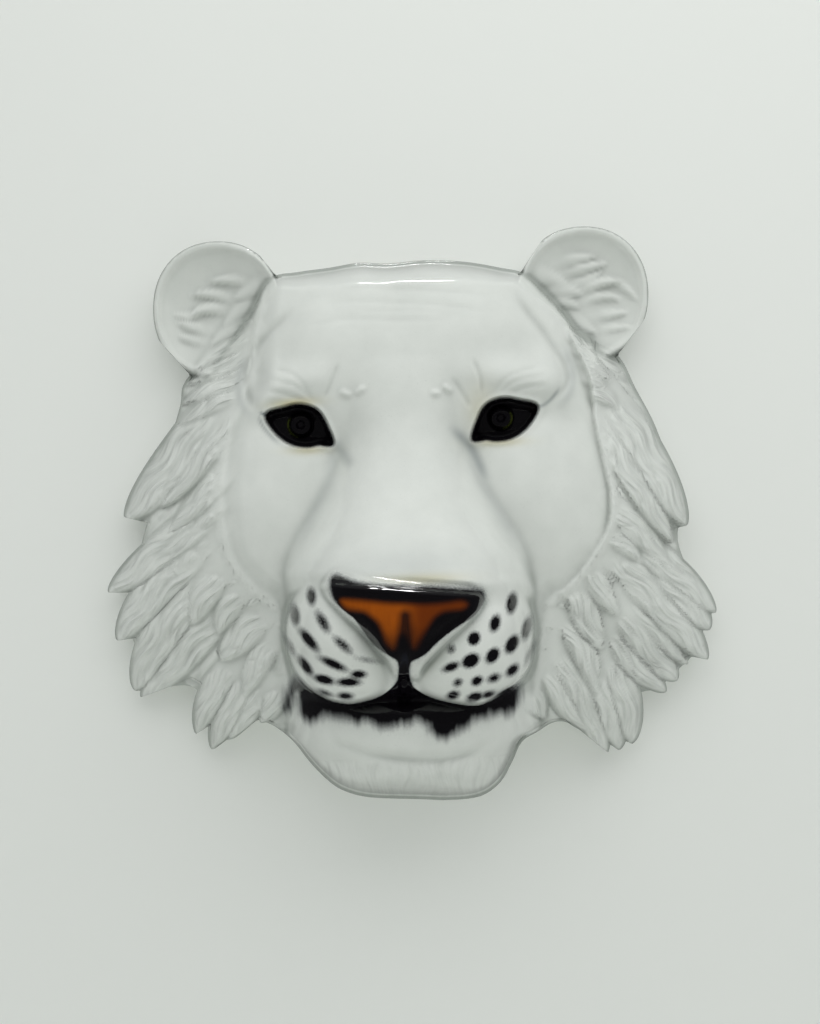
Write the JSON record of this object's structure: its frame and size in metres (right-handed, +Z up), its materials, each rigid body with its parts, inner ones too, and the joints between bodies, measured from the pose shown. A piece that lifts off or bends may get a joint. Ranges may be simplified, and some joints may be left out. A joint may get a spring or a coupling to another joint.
{
  "type": "ceramic big cat head wall mask",
  "caption": "Hollow glazed ceramic mask of a big cat's head with a ruff of fur, open at the back, with a shelf and hook hole for hanging on a wall.",
  "frame": {"origin": "on the flat clay at the top of the mask's back, in the plane of the wall", "axes": "+X to the viewer's right across the face, -Y out of the wall towards the viewer, +Z up"},
  "size_m": [0.5217, 0.2319, 0.4717],
  "materials": {
    "white_glaze": "high gloss, cool white, airbrushed blue-black and burnt orange markings"
  },
  "bodies": {
    "root": {"big_cat_mask": "white_glaze"}
  },
  "joints": []
}
